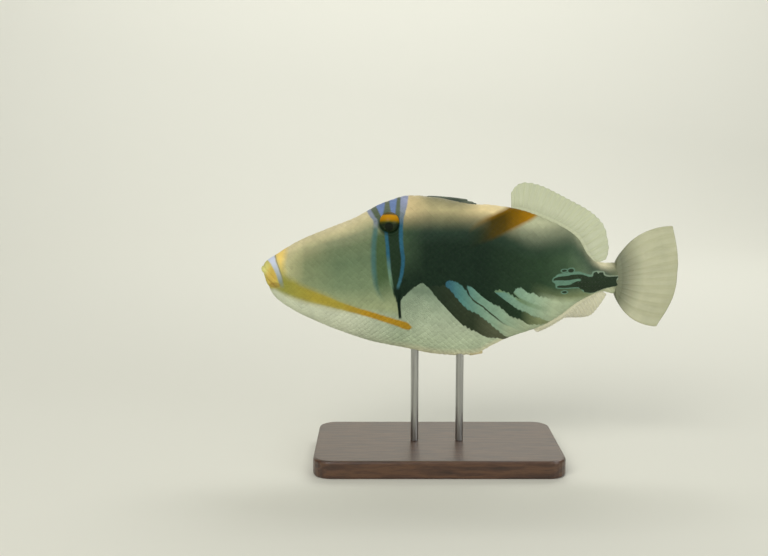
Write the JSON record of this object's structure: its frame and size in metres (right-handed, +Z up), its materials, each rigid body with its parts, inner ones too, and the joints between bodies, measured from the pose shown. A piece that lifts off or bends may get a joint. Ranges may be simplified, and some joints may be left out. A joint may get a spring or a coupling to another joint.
{
  "type": "picasso triggerfish",
  "caption": "Life-size picasso triggerfish swimming level with its fins spread, held by two short rods over a flat wooden base.",
  "frame": {"origin": "on the floor under the middle of the fish's length, in its middle plane", "axes": "+X from the snout to the tail, +Y towards the fish's right flank, +Z up"},
  "size_m": [0.21, 0.072, 0.1414],
  "materials": {
    "skin": "satin scaled skin, pale olive-beige with black, blue, yellow and orange markings",
    "eye": "glossy, golden above and dark olive below",
    "spine": "rough dark bone with thin skin",
    "fin": "thin pale translucent membrane with raised rays",
    "stand_wood": "dark oiled hardwood",
    "stand_metal": "brushed steel rod"
  },
  "bodies": {
    "root": {"head": "skin", "lower_jaw": "skin", "torso": "skin", "tail_stalk": "skin", "eye_left": "eye", "eye_right": "eye", "dorsal_spines": "spine", "dorsal_fin": "fin", "anal_fin": "fin", "tail_fin": "fin", "pectoral_fin_left": "fin", "pectoral_fin_right": "fin", "pelvic_spine": "spine", "stand_base": "stand_wood", "stand_rod_front": "stand_metal", "stand_rod_rear": "stand_metal"}
  },
  "joints": []
}
